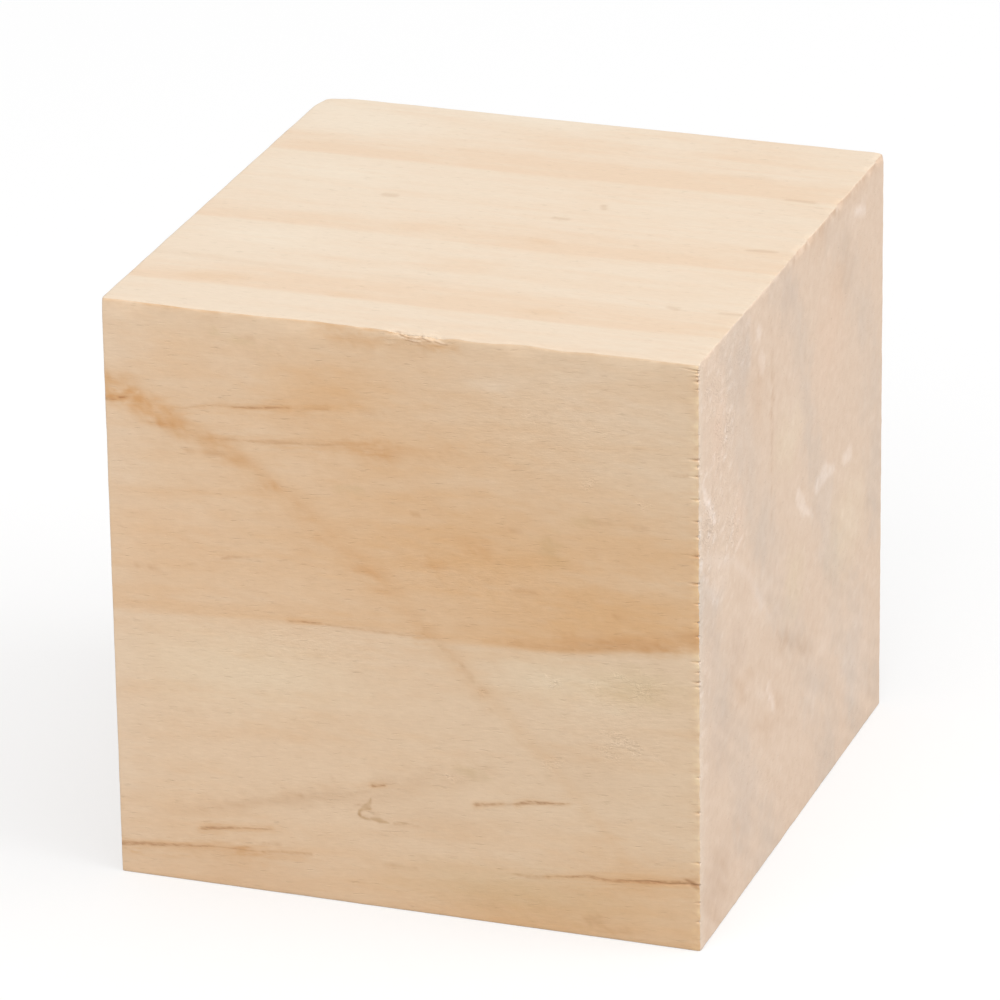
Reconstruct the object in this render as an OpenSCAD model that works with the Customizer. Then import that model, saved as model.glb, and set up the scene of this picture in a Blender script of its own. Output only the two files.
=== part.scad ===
// Wooden cube: one solid block of pine, planed on four sides and sawn across the grain at both ends.
// The grain runs along X, the front face looks towards -Y, and the block stands on Z = 0.

/* [Block] */
// Length along the grain, from one sawn end to the other
block_l = 50; // [40:1:90]
// Depth of the planed section, from front to back
block_d = 51; // [40:1:90]
// Height of the planed section
block_h = 50.5; // [40:0.5:90]

/* [Edges] */
// Rounding of the four planed edges, which run along the grain
planed_r = 0.2; // [0.1:0.05:0.8]
// Edge length lost at the worn corner, at the back of the left end's top
worn_corner = 1; // [0.4:0.1:3]

/* [Chips in the top front edge] */
// Length of the splintered chip
chip_l = 5; // [2:0.5:10]
// Depth of the splintered chip, square to the edge
chip_deep = 0.35; // [0.25:0.05:0.8]
// Middle of the splintered chip, from the left end
chip_x = 27; // [12:0.5:33]
// Length of the smooth hollow
hollow_l = 5; // [2:0.5:10]
// Depth of the smooth hollow, square to the edge
hollow_deep = 0.3; // [0.25:0.05:0.6]
// Middle of the smooth hollow, from the right end
hollow_x = 15; // [6:0.5:22]

/* [Torn fibres at the front edge of the right end] */
// Reach of each tear along the front face
tear_l = 0.8; // [0.4:0.1:3]
// Depth of each tear behind the front face
tear_deep = 0.3; // [0.15:0.05:1]
// Height of each tear
tear_h = 0.3; // [0.15:0.05:0.8]
// Usual step from one tear to the next
tear_step = 3; // [2:0.25:6]
// Most that a tear lies off its even place
tear_stray = 0.7; // [0:0.1:0.8]
// Height that stays whole below the lowest tear and above the highest
tear_margin = 2; // [1.5:0.25:6]

/* [Split at the right end] */
// Length of the split along the front face
split_l = 8; // [3:0.5:20]
// Width of the split at the sawn end
split_w = 0.3; // [0.15:0.05:0.8]
// Depth of the split at the sawn end
split_deep = 0.8; // [0.3:0.1:3]
// Height of the split above the base
split_z = 6.3; // [4:0.1:12]

/* [Hidden] */
$fn = 96;

pine = [0.87, 0.74, 0.60];
// Cutting shapes stand out of the wood by this much
proud = 1;
// Circle radius of a shallow scoop of a given length and depth
function scoop_r(length, deep) = (pow(length / 2, 2) + pow(deep, 2)) / (2 * deep);
// Even wander between -1 and 1, with no visible repeat from one tear to the next
function wander(i) = sin(i * 137.5);

// The planed section, in Y and Z
module section() {
    for (side = [-1, 1], top = [0, 1])
        translate([side * (block_d / 2 - planed_r), top ? block_h - planed_r : planed_r])
            circle(r = planed_r);
    translate([-block_d / 2, planed_r])
        square([block_d, block_h - 2 * planed_r]);
    translate([planed_r - block_d / 2, 0])
        square([block_d - 2 * planed_r, block_h]);
}

module sawn_length() {
    translate([-block_l / 2, 0, 0])
        rotate([90, 0, 90])
            linear_extrude(block_l)
                section();
}

// A round scoop across the top front edge, with its middle at x
module edge_scoop(x, length, deep) {
    r = scoop_r(length, deep);
    translate([x, -block_d / 2, block_h])
        rotate([-45, 0, 0])
            translate([0, deep - r, 0])
                cylinder(h = 2 * (deep + proud), r = r, center = true);
}

// A cut seen from above: deepest at the right end, and running out on the front face
module run_out(reach, deep) {
    polygon([[-reach, 0], [-reach, -proud], [proud, -proud], [proud, deep], [0, deep]]);
}

module tear(z) {
    translate([block_l / 2, -block_d / 2, z - tear_h / 2])
        linear_extrude(tear_h)
            run_out(tear_l, tear_deep);
}

module tears() {
    count = 1 + floor((block_h - 2 * tear_margin) / tear_step);
    first = (block_h - (count - 1) * tear_step) / 2;
    for (i = [0 : count - 1])
        tear(first + i * tear_step + tear_stray * wander(i));
}

// A crack that is widest and deepest at the right end and closes along the grain
module split() {
    half = split_w / 2;
    translate([block_l / 2, -block_d / 2, split_z])
        intersection() {
            linear_extrude(2 * split_w, center = true)
                run_out(split_l, split_deep);
            rotate([90, 0, 0])
                linear_extrude(2 * (split_deep + proud), center = true)
                    polygon([[-split_l, 0], [0, -half], [proud, -half], [proud, half], [0, half]]);
        }
}

// A flat that takes the same length off all three edges of the corner
module corner_wear() {
    translate([-block_l / 2, block_d / 2, block_h])
        rotate([0, 0, 135])
            rotate([0, -asin(1 / sqrt(3)), 0])
                translate([-worn_corner / sqrt(3), -worn_corner - proud, -worn_corner - proud])
                    cube(2 * (worn_corner + proud));
}

module block() {
    color(pine)
        difference() {
            sawn_length();
            edge_scoop(chip_x - block_l / 2, chip_l, chip_deep);
            edge_scoop(block_l / 2 - hollow_x, hollow_l, hollow_deep);
            tears();
            split();
            corner_wear();
        }
}

block();
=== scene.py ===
"""The wooden cube's looks: a pine block with its figure and its wear, and the studio round it.

The wood is described in millimetres in the part's own frame, and turned into metres at the end.
X runs along the grain to the torn right end, Y from the front to the back, and Z up from the base.
"""

import math

import bpy
import numpy as np
from mathutils import Matrix, Vector, noise


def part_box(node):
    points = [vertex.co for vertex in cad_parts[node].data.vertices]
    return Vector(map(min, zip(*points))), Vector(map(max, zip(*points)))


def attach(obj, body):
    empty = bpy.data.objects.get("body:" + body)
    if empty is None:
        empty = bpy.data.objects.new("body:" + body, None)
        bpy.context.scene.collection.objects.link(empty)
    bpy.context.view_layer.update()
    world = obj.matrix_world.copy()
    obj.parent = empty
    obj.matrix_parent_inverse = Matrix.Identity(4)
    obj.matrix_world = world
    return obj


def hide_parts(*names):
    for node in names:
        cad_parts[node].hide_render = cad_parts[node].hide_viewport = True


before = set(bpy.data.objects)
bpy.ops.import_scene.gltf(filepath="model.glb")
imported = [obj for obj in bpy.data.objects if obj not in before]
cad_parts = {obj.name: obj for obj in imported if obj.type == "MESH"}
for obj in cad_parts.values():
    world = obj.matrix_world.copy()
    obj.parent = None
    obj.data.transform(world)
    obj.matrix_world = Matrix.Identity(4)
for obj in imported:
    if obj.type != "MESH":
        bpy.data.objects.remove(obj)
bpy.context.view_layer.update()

MM = 0.001
LOW, HIGH = (np.array(corner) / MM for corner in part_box("block"))
LEFT, FRONT, BASE = LOW
RIGHT, BACK, TOP = HIGH


# ---- the block's wear, in millimetres

ARRIS_R = 0.14  # usual rounding of the edges
ARRIS_VARIES = 0.08  # how much that comes and goes
WORN_CORNER_R = 0.7  # extra rounding at the back of the left end's top
WORN_REACH = 3.0  # how far from that corner the rounding spreads

# Long waves of the top front edge: middle, half length, drop of the top, set-back of the front
WAVE_REACH = 1.6
WAVES = (
    (-23, 4, 0, 0.16), (-7.5, 4.5, 0, 0.2), (-1.8, 1.6, 0, 0.08),
    (1.2, 2.2, 0.14, 0), (3.6, 1.6, 0.22, 0.03), (6.6, 2.8, 0.18, 0),
    (10.4, 2.6, 0, 0.2), (14, 1.8, 0.1, 0), (19.5, 4.5, 0, 0.12),
)

# Rough edges: how rough, how much they sink, the reach, and each side's axis, way inwards and noise
RIM = (0.05, 1, 0.4, (2, -1, (0.7, 1, 1)), (1, 1, (1.1, 1, 1)))  # the top front edge
SPLINTERED = (0.18, 0.4, 0.55, (2, -1, (2.6, 4, 4)), (1, 1, (2.6, 4, 4)))  # a stretch of that edge
SPLINTER_X = (-1.2, 4.2)
FRAYED = (0.05, 1, 0.3, (0, -1, (1, 1, 2.7)), (1, 1, (1, 1, 2.1)))  # the right end's front edge

# Ragged top edge of the right end
RAGGED_REACH = 0.7
RAGGED_DROP = 0.28
RAGGED_BITE = 1.2  # set-back of the end there, as a share of the drop
RAGGED_TEARS = 0.3  # share of small tears beside the wide scallops

# Nicks in the right end's front edge: height, reach, half height, depth
NICKS = (
    (49.75, 0.56, 0.13, 0.2), (49.45, 0.88, 0.11, 0.15), (49.05, 0.48, 0.18, 0.22), (48.4, 0.4, 0.11, 0.1),
    (42.5, 1.12, 0.14, 0.25), (41.9, 0.56, 0.22, 0.15), (41.1, 0.96, 0.11, 0.18), (39.15, 0.88, 0.13, 0.25),
    (37.3, 0.72, 0.12, 0.18), (36, 0.4, 0.2, 0.12), (34.35, 0.96, 0.13, 0.2), (32, 1.2, 0.14, 0.25),
    (30.3, 0.64, 0.13, 0.15), (28.7, 0.56, 0.12, 0.15), (27.5, 0.48, 0.15, 0.12), (25.3, 0.96, 0.14, 0.22),
    (24.4, 0.48, 0.13, 0.12), (23.55, 0.88, 0.12, 0.22), (23.15, 0.64, 0.13, 0.15), (15.3, 0.48, 0.13, 0.12),
    (12.2, 0.72, 0.18, 0.12), (7.8, 0.96, 0.14, 0.2), (4.3, 0.56, 0.13, 0.15), (2.6, 0.48, 0.13, 0.1),
)
NICK_BITE = 0.16  # how far it eats into the end itself

# Cracks in the front: tip, mouth, half width and depth at the mouth
CRACKS = ((17, 5.35), (25, 5.85), 0.1, 0.16), ((23.4, 50.05), (25, 49.95), 0.08, 0.25)
CRACK_SWAY, CRACK_PACE = 0.06, 1.9  # how far and how fast they wander

# Fuzzy torn fibres in the front part of the right end
FUZZ_MIDDLE = (-22, 36)
FUZZ_SPREAD = (9, 17)
FUZZ_ROUGH = 0.05
FUZZ_UNEVEN = 1.5
SAWN_ROUGH = 0.03
SAWN_FINE = 0.5  # share of fine saw marks
PLANED_ROUGH = 0.012

# How fast each kind of wear changes along X, Y and Z
ARRIS_NOISE = (0.4, 0.4, 0.4)
SCALLOP_NOISE, RAGGED_NOISE = (0.2, 0.35, 0.2), (0.5, 1.3, 0.5)
PLANED_NOISE = (0.05, 0.25, 0.25)
SAWN_NOISES = ((1, 0.9, 0.9), (1, 2.6, 2.6))
FUZZ_NOISE = (1, 2.2, 2.2)
ELSEWHERE = 9  # moves a noise away from one of the same kind


# ---- the pine's figure, in millimetres

PITH = (112.6, 90.5)  # Y and Z of the tree's middle, far outside the block
RING_EDGES = np.array((93, 108.4, 124.3, 138.4, 153.1, 166.5))  # outer edge of each year's late wood
LATE_DEPTH = 6.5  # how far it darkens inwards from a ring's edge
FRONT_BLUR, TOP_BLUR = 0.14, 0.4  # half width of the late wood's outer edge
END_RISE, END_RISE_X = 0.92, (9, 33)  # how far the rings turn towards the right end, and where
END_DROP, END_DROP_X = 0.38, (9, 30)  # the same the other way, towards the left end
TOP_CALM, TOP_CALM_Z = 0.6, (30, 50)  # share of those turns that is gone at the top
GRAIN_RISE = 0.1  # how steeply the fibres climb to the right

# Places are X and Z on the front, X and Y on the top, and Y and Z on the right end
# A stroke's third number is its half width there, which fades it out below 0

STREAK = (  # diagonal resin streak on the front
    (-25.6, 43, 0.7), (-21.3, 41.6, 0.35), (-19.4, 41, 0.3), (-17.6, 39.8, 0.2), (-14.6, 38.5, 0.1),
    (-12, 36.4, 0.1), (-7.2, 33.5, 0), (-4.3, 30.9, -0.1), (-2.4, 29.7, 0), (1.5, 25.5, -0.3),
    (4, 23.4, -0.1), (6.9, 20.4, -0.3), (12, 15.2, -0.6), (15.5, 11, -0.6), (18.5, 7.5, -0.9),
)
STREAK_CORE = (  # its stronger upper part
    (-25.6, 42.9, 0.5), (-22.5, 42, 0.5), (-20, 41.1, 0.6), (-17, 39.8, 0.3), (-14.6, 38.6, 0.2),
    (-11, 36.4, -0.2), (-8, 34.3, -0.7), (-4.3, 31, -0.8), (-2.4, 29.7, -0.5), (0, 27.4, -0.9),
)
STREAK_DARK = (  # its darkest part, at the left edge
    (-25.6, 43.3, 0.6), (-23.6, 42.7, 0.4), (-21.4, 41.8, 0.4), (-19.9, 41.1, 0.2), (-17.8, 40.1, -0.3),
)
# Fine dark line in the streak's lower part, and a ring's dark rim near the right end
STREAK_END = ((1.5, 25.5, -0.1), (4, 23.4, 0), (5.6, 21.8, 0), (7, 20.3, 0.02))
RING_RIM = ((7, 24.8, -0.3), (13, 25.1, 0.1), (18, 25.8, 0.3), (21.5, 26.3, 0.4), (25.5, 27.2, 0.5))
GLOWS = (  # broad golden margins of some resin canals
    ((-15.5, 39.6, 0), (-8, 40.1, -0.1), (-3, 40.2, 0.1), (3, 40.6, 0.1), (7, 40.8, -0.3)),
    ((-17, 42.1, -0.4), (-12, 42.5, -0.3), (-5, 43.3, -0.4), (4, 44.4, -0.5)),
    ((-17.6, 4.9, 0), (-13, 5.4, -0.2), (-10.5, 5.6, -0.5)),
    ((-25, 2.3, 0.5), (-22, 2.6, 0.2), (-19, 2.8, 0.2), (-14, 3.1, 0.4), (-9, 3.8, -0.2)),
    ((-7, 49.6, 0), (-3, 49.3, 0.6), (1, 49.4, 0.3), (5, 49.8, 0)),
)
RISING_BAND = (  # grey-brown band that climbs across the lower front
    (-20, 6.3, -0.3), (-16.3, 6.9, 0), (-12.4, 8, 0.2), (-8.3, 8.8, 0.25), (-4.6, 9.8, 0.2),
    (-1, 11, 0.5), (3.5, 12.2, 0.7), (7.8, 13.8, -0.2),
)
RISING_LINE = (  # that band's dark core
    (-17, 6.8, -0.3), (-13.4, 7.8, 0), (-9.3, 8.8, 0.05), (-5.4, 9.6, 0.05), (-3, 10.3, -0.2),
)
DARK_CANALS = (  # resin canals cut lengthwise on the front
    ((-13.9, 42.42, -0.05), (-12.6, 42.55, 0.01), (-10.4, 42.7, 0), (-9.2, 42.85, -0.06)),
    ((-25.2, 41.9, 0.06), (-24, 41.9, -0.04)), ((-23.7, 42.1, 0.02), (-23, 42.25, 0)),
    ((-9.7, 24.47, -0.05), (-8.6, 24.5, 0.03), (-7, 24.57, -0.05)),
    ((6, 10.3, 0.09), (6.8, 10.4, 0.05), (8.3, 10.75, -0.02)),
    ((9.5, 10.85, 0.07), (10.4, 11.2, 0.09), (11.5, 11.28, 0.03), (13.9, 11.5, -0.06)),
    ((-2.8, 10.8, 0.08), (-1.8, 10.95, 0)),
    ((-17.7, 4.9, 0.12), (-16.9, 5.05, 0.06), (-13.5, 5.5, 0), (-11.6, 5.7, -0.06)),
    ((-24.9, 2.55, 0.13), (-22.8, 2.85, 0.08), (-19.4, 3.1, 0.03), (-17.2, 3.4, 0), (-12.5, 3.5, -0.07)),
    ((12, 4.8, -0.05), (15.4, 5.3, 0.06), (17.4, 5.24, 0.05), (19, 5.4, 0.07), (23.7, 5.9, 0.07)),
)
FAINT_CANALS = (  # their fainter parts
    ((-18.7, 41.8, -0.1), (-15.8, 42.3, -0.02), (-12, 42.6, 0), (-9, 42.9, -0.1),
     (-5.8, 43.15, -0.02)),
    ((-14.6, 39.5, -0.02), (-11.3, 39.75, 0.03), (-7.6, 40, 0), (-2.8, 40.5, -0.15)),
    ((-15.2, 29.24, 0.04), (-13, 29.5, -0.02)),
    ((-7, 24.56, -0.05), (-4.4, 24.5, 0), (-1.2, 24.5, 0), (2, 24.45, -0.1)),
    ((-12.5, 3.55, 0), (-8.3, 3.9, 0.03)), ((8.6, 4.66, -0.1), (10.6, 4.6, 0.08), (12.2, 4.75, 0.02)),
    ((8, 10.7, 0), (9.7, 10.9, 0.02), (12, 11.3, 0), (14.6, 11.6, -0.06)),
)
FAINT_MARKS = (  # short faint dashes
    ((-22.8, 27.5, 0.03), (-20.7, 27.7, 0)), ((-1, 7.6, 0), (1, 7.75, 0.03)),
    ((-18, 38.2, 0), (-15, 38.35, 0.05)), ((14.2, 36.1, -0.1), (17.2, 36.15, 0), (17.9, 36.2, -0.1)),
    ((18.6, 36.2, -0.05), (20.5, 36.35, 0.05), (21.5, 36.5, -0.1)), ((9.1, 34.8, 0), (10.2, 34.8, 0)),
    ((9.4, 29.4, 0), (11.4, 29.6, 0.05)), ((16, 29.75, 0.06), (17, 29.85, 0)),
    ((18, 28.3, 0.08), (19, 28.2, 0)), ((-10.4, 8.8, 0.02), (-8.9, 9.05, 0.05)),
    ((-7, 10.8, 0.02), (-6, 10.9, 0)), ((-12.8, 4.2, 0), (-11, 4.45, 0.03)),
    ((-2, 3.8, -0.02), (0.7, 4, 0.03)), ((-13.3, 48.6, 0), (-12.2, 48.65, 0.04)),
    ((-3.2, 43.4, 0), (-1.2, 43.5, 0.05)), ((22.6, 40.9, 0), (24, 41.1, 0.02)),
    ((1.1, 35, 0.03), (1.7, 35.2, 0)), ((-18.8, 15.3, 0.03), (-18.2, 15.3, 0.03)),
    ((6.7, 20.2, 0.06), (7.2, 20.5, 0.06)),
)
KNOT_MARKS = (  # small curled knot
    ((-2.95, 9.7, -0.12), (-3.12, 9.2, 0.05), (-3.4, 8.86, 0.14), (-3.6, 8.7, 0.1), (-3.98, 8.42, -0.04)),
    ((-3.6, 8.62, 0.05), (-3.1, 8.72, 0.03)),
    ((-3.98, 8.45, -0.02), (-4.03, 8.15, -0.02), (-3.88, 7.88, -0.02), (-3.5, 7.78, -0.05),
     (-3.1, 7.8, -0.08)),
    ((-2.95, 7.84, -0.02), (-2.3, 7.76, 0.1), (-1.75, 7.7, 0), (-1.45, 7.66, -0.12)),
    ((-1.1, 7.74, -0.14), (-0.2, 7.8, -0.06), (0.6, 7.86, -0.14)),
)
MOUTH_MARKS = (  # torn wood round the mouth of the crack
    ((23.75, 6.22, -0.02), (24.05, 6.12, 0.03), (24.3, 5.95, 0.08)),
    ((24.3, 5.9, 0.1), (24.6, 5.7, 0.16), (24.93, 5.6, 0.14)),
)
SPLINTER_SHADOWS = (  # painted shadows at the roots of the splinters
    ((0.2, 50.4, -0.03), (1, 50.2, 0.04), (1.6, 50.05, -0.03)),
    ((0.5, 50, 0), (1.3, 49.85, 0.04), (2, 49.75, -0.02)),
    ((1.2, 50.35, 0), (1.9, 50.15, 0.03), (2.4, 50.25, 0)), ((2.2, 50.25, 0.03), (2.8, 50, 0.05)),
    ((3.2, 50.1, 0), (4.2, 49.9, 0.02)),
)
SPLINTER_PALE = (  # bare fibres of the splinters
    ((0, 50.5, 0.03), (1.8, 50.45, 0.1), (2.8, 50.3, 0.03)), ((1.2, 49.98, 0.04), (2, 49.9, 0.05)),
    ((2.9, 50.4, 0.08), (3.5, 50.25, 0.1), (4, 50, 0.03)), ((0.2, 50.2, 0.02), (0.8, 50.05, 0.03)),
)

# A patch is its middle and its two half sizes
GOLD_PATCHES = (
    (-23, 43.3, 3.6, 1.6), (-19.5, 40.8, 2.4, 0.9), (-3, 49.3, 4, 0.9), (-2, 39.6, 4.5, 1),
    (-10.7, 36, 1, 0.5), (-2.2, 29.7, 2.2, 0.8), (6.5, 32.8, 2.6, 1.2), (3.1, 30.9, 1.4, 0.8),
    (4, 49.6, 2.4, 0.5), (21, 26.3, 6.5, 1.1), (14.5, 26, 2.5, 0.6), (-1.5, 39.9, 5, 1.4),
    (1.6, 24, 1.2, 0.5), (-13.5, 3.2, 3, 0.6), (-23.6, 2.1, 0.9, 0.5),
)
OLIVE_PATCHES = (
    (-15.2, 48.3, 1.2, 0.5), (-12.6, 48, 1.6, 0.5), (12.7, 33.4, 1.4, 2.2), (-4.2, 36.3, 2, 0.5),
    (15.6, 36, 2.6, 0.6), (20, 22.4, 5.5, 2.6), (6, 13.3, 2.6, 0.9), (9, 3, 16, 3.6),
)
PALE_PATCHES = (
    (-21.3, 47, 3, 1.6), (-13.6, 45.6, 3, 1.4), (-7.9, 37.7, 4.2, 1.6), (17, 46.5, 10, 4.6),
    (8, 47.6, 5, 2.6), (-18, 32, 4.5, 2), (-14, 19, 13, 5), (14, 21.5, 10, 2.6),
)
HONEY_PATCHES = (
    (8, 32.5, 17, 7.5), (-6, 44, 9, 5), (17, 29, 10, 3.5), (19, 6, 9, 4), (18, 34.5, 13, 4.5),
)
WARM_PATCHES = ((-1, 39.5, 30, 15),)
UMBER_PATCHES = (
    (16.3, 1.4, 1.5, 1.2), (7.3, 1.6, 2, 0.8), (18.3, 0.9, 1.6, 0.6), (-3.4, 8.6, 0.9, 0.8),
    (-24.4, 50.2, 0.6, 0.3), (24.4, 6.2, 0.9, 0.7), (-2.9, 8.2, 1.1, 0.6), (2.3, 49.5, 1, 0.4),
)
ROSY_PATCHES = ((2, 8.5, 9, 3.4), (15, 14.8, 7, 4), (-14, 1.4, 13, 4.4))
AMBER_PATCHES = ((-19, 46.5, 7, 4), (-21, 31, 9, 5), (-21.5, 41.5, 4, 1.6))
IVORY_PATCHES = ((-14, 19.5, 16, 5.6), (14, 22, 11, 3.2))

FRONT_FUZZ = (  # where fibres stand up or are torn
    (19, 17.3, 5, 3.2), (24.8, 49.4, 1, 1.4), (18.8, 22.5, 6.2, 2.7), (1, 50.4, 4, 1.2),
    (12.5, 21.8, 2.6, 1.4), (12.8, 14.6, 2.2, 1.4), (4, 12.6, 2.6, 0.9),
    (7, 20.4, 0.9, 0.8), (16, 39.5, 2, 1), (11, 44.6, 1.4, 0.8), (20.5, 38.2, 1, 0.7),
)
FRONT_NAP = (  # where they only roughen the wood
    (13, 44, 15, 8), (18, 20, 9, 5), (-9, 22.5, 13, 3), (6, 30, 14, 4),
)

TOP_SPECKS = (  # short dark canals and specks
    ((-11.5, 3.7, 0.2), (-10.7, 3.7, 0.2)), ((3.7, 2.4, 0.12), (4.7, 2.4, 0.12)),
    ((6.6, 6.4, 0.05), (6.9, 5.6, 0.05)), ((21, -0.15, 0), (22.1, 0.05, 0.12), (23.3, 0.1, 0)),
    ((18.9, -14.3, 0.06), (19.6, -14.6, 0.08)), ((23.2, -14.3, 0.03), (25, -14.2, 0.08)),
    ((20.5, 12.2, -0.05), (22.8, 12.2, 0.08)),
)
TOP_LINES = (  # faint brown lines
    ((-25, -14, 0.1), (-18, -14.5, 0.15), (-12, -14.7, -0.2)),
    ((-6.5, -14.2, -0.1), (-3, -14.3, 0.1), (1, -14.3, -0.1)),
    ((14, 16.2, -0.1), (16.5, 16.6, 0.15), (18.2, 16.2, -0.1)),
)
TOP_PATCHES = (
    (-18, -18.2, 5.5, 1.8), (9.5, -18.2, 3.5, 1.3), (4.5, -3, 3, 1.4), (7.5, 14.6, 4, 2.2),
    (-5.5, 12.8, 4.5, 1.6), (0, 19, 8, 4.5), (17, 15.2, 5, 2), (-6, -2.4, 3.5, 1.8),
    (16, 21, 8, 3), (-22, 13, 4, 1.6), (0, -10, 5, 3), (-7, -19, 4, 1),
    (-4, -16.4, 32, 2.6), (4, 15, 26, 2.2),
)
TOP_DARK = ((-18, -18.2, 4.6, 1.5), (9.5, -18.3, 2.6, 1), (4.5, -3.1, 2.4, 1), (-6.5, -19, 3, 0.8))
TOP_PALE = (
    (-19, 20.5, 12, 6), (-6, 24.8, 26, 3.6), (-18, 7.5, 10, 4.5), (-17, -8.5, 9, 3.5), (-22, 24, 9, 9),
)

END_BANDS = (  # greyish late wood on the right end
    ((-25.5, 31, 0.5), (-23, 27, 1.5), (-22, 21.5, 1.2), (-18.5, 17, 0.6), (-15.5, 12.5, 0.8),
     (-14, 9, 1), (-10.5, 4, 1.5), (-7, 0, 1.5)),
    ((-16.5, 50.5, 1.8), (-15.2, 44, 1.2), (-13, 38, 0.8), (-10.2, 32.5, 1), (-7.2, 27, 1.2),
     (-3.6, 21.5, 0.9), (-0.5, 18, 0), (3, 12.5, 0.3), (8, 6.5, 1.2), (10.5, 0, 1.2)),
    ((-4.5, 50.5, 0.8), (-1, 46, 0.3), (1.6, 41, 0.2), (3.6, 36, -0.4), (5.2, 31.5, 0),
     (8, 26, 0.8), (10.6, 20.5, 0.8), (13.8, 14.5, 1.4), (17.5, 9, 2.2), (21, 2.5, 3)),
    ((10.5, 49.5, 0.5), (14, 46.5, -0.3), (17.5, 41.5, 0.6), (20.5, 36, 0.8), (23, 28, 1.2),
     (24.5, 19, 1)),
)
END_FLECKS = (  # chalky flecks
    ((1.2, 28.9, 0.35), (2.6, 27.4, 0.3), (5.2, 25.8, -0.3)),
    ((6.4, 27.9, 0.2), (9, 28.1, 0.35), (11.3, 27.5, 0)), ((14.2, 27.2, 0.2), (15.9, 27.2, 0.25)),
    ((-9.3, 45, 0.3), (-8.9, 44.2, 0.35)), ((-10, 47.5, 0.12), (-9.7, 47.2, 0.12)),
    ((17.5, 48.1, 0.05), (20, 47.2, 0.05)), ((-24.6, 40, -0.1), (-23.2, 37.9, 0.05), (-21.4, 35.9, 0)),
    ((-7.2, 15.4, 0.05), (-6, 13.6, 0.2)),
)
END_SCRATCHES = (  # long pale scratches
    ((-25.2, 33.9, -0.1), (-21, 32.2, 0.1), (-16.5, 30.4, 0.1), (-12.5, 27.4, 0.2), (-8, 22.6, 0.1),
     (-6, 20.5, -0.3)),
    ((-12, 17.2, -0.2), (-7.5, 14.6, 0.1), (-3.5, 11.5, -0.3)), ((-24.4, 32, 0.2), (-21, 28.4, 0)),
)
END_CREASES = (  # dark creases
    ((-6.3, 48.3, -0.1), (-6.2, 42.6, 0.12), (-6.2, 38.5, -0.05), (-6.25, 34.8, 0.1), (-6.3, 28, -0.1)),
    ((-15.9, 17.4, 0), (-12.5, 16.9, 0.12), (-10.2, 16.6, 0)), ((-20, 20.4, 0), (-13, 22, 0.02)),
    ((-4.6, 19, 0), (-0.5, 16.2, 0.15)),
)
END_FUZZ = ((-22, 36, 11, 19), (-25, 25, 3, 26), (-19, 48, 6, 6))
END_TUFTS = (  # where that fuzz is thickest
    (-18.5, 42.5, 4.2, 6.2), (-23, 35, 4.2, 3.8), (-13.5, 47.5, 5, 3.6), (-22.5, 47.5, 4, 3.8),
    (-16.5, 33, 4.2, 3.6),
)
END_BROWN = (
    (2.5, 15.2, 5, 2.8), (-2, 18, 3.6, 1.8), (-21, 4, 7, 6), (-16, 22.5, 3.6, 3.4),
    (13.5, 44, 5, 4.2), (-10, 42.5, 3, 5), (-6.5, 12.8, 6, 3.4), (-6.3, 40, 0.8, 7),
    (-14, 18.6, 6, 1.6), (7, 49, 4, 2),
)
END_PALE = (
    (-1, 36, 4.5, 4), (-20.5, 30, 4, 3), (16, 21, 6, 5), (16, 8, 6, 6),
    (-9.5, 24.5, 4, 3), (18, 7.5, 8, 7), (9, 13, 4, 3), (17.5, 48, 4, 1.6),
    (5, 9.5, 4.5, 3.4), (-23.2, 38.8, 1.8, 3), (9, 23.5, 3.4, 5),
)
END_YELLOW = ((-2, 35.2, 6, 4.4), (15, 21, 9, 7), (0, 22, 4, 5))
END_DUSK = (
    (-14.5, 45.5, 4, 6), (-20.5, 16.5, 4.4, 5), (-14, 7, 6, 6), (-16, 22.5, 4.4, 4),
    (-21.5, 4.5, 7, 5), (-1.5, 47.5, 3.4, 3.4), (-22.5, 25, 3, 4.4),
)
END_ORANGE = ((-20.5, 43, 3.4, 5), (10, 40, 7, 8), (-15, 34, 2.4, 4))

# Colours of the early and the late wood
FRONT_EARLY, FRONT_LATE = (0.777, 0.575, 0.391), (0.722, 0.437, 0.218)
# The top's colours are paler and greyer than the front's: partly its other cut, partly a painted sheen
# washing out the same wood
TOP_EARLY, TOP_LATE = (0.781, 0.641, 0.494), (0.763, 0.579, 0.415)
END_EARLY = (0.777, 0.596, 0.457)

# What each stain leaves of the wood's own colour
GOLD = (0.93, 0.83, 0.7)
RESIN = (0.935, 0.79, 0.59)
OLIVE = (0.91, 0.91, 0.84)
PALE = (1.04, 1.09, 1.17)
CANAL = (0.66, 0.54, 0.45)
UMBER = (0.86, 0.8, 0.74)
ROSY = (0.93, 0.9, 0.87)
ASH = (0.93, 0.96, 0.995)
CHALK = (1.1, 1.15, 1.22)
CLAY = (0.94, 0.9, 0.86)
CREAM = (1.02, 1.06, 1.09)
STRAW = (1.08, 1.12, 1.12)
# painted light and shade: the front's tint for its light falling off from left to right
PAINTED_FALLOFF = (0.94, 0.96, 0.97)
LEMON = (1, 1.03, 0.95)
DUSKY = (0.93, 0.935, 0.95)
AMBER = (1, 0.96, 0.91)
IVORY = (1.01, 1.04, 1.03)
ORANGE = (1.03, 0.995, 0.98)
KNOT = (0.7, 0.61, 0.47)

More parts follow.
